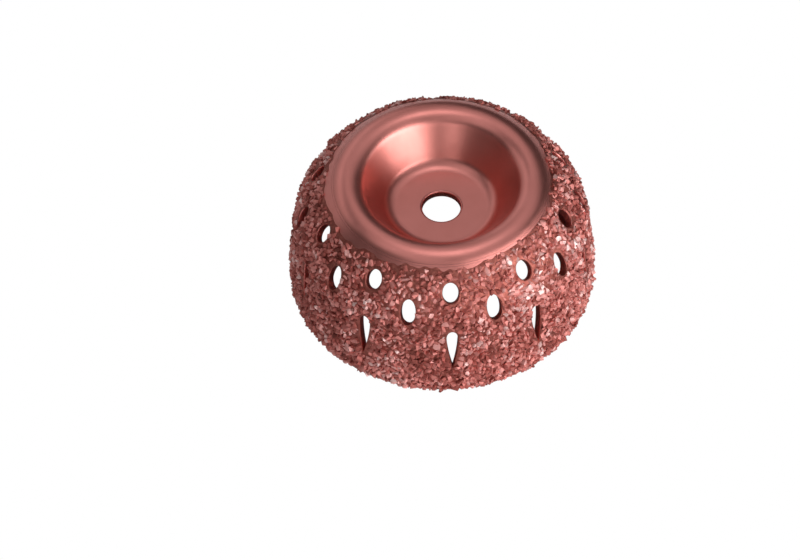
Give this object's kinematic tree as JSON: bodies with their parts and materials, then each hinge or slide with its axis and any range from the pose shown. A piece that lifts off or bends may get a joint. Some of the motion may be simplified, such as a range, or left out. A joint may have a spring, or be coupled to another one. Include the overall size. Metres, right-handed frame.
{
  "type": "angle grinder carving disc",
  "caption": "Deep dished contour carving wheel with a plain spindle bore, a perforated side and a coat of brazed carbide grit.",
  "frame": {"origin": "centre of the open rim, in the plane the disc stands on", "axes": "+Z along the bore axis, towards the mouth of the centre dish; -Y through a vent of the upper row"},
  "size_m": [0.0762, 0.0762, 0.0381],
  "materials": {
    "coppered_steel": "satin copper film on pressed steel",
    "braze": "copper filler, as cast in the furnace",
    "carbide_grit": "angular chips wetted with copper"
  },
  "bodies": {
    "root": {"centre_dish": "coppered_steel", "seam_braze_ring": "braze", "contour_shell": "coppered_steel", "braze_bed": "braze", "carbide_grit": "carbide_grit"}
  },
  "joints": []
}
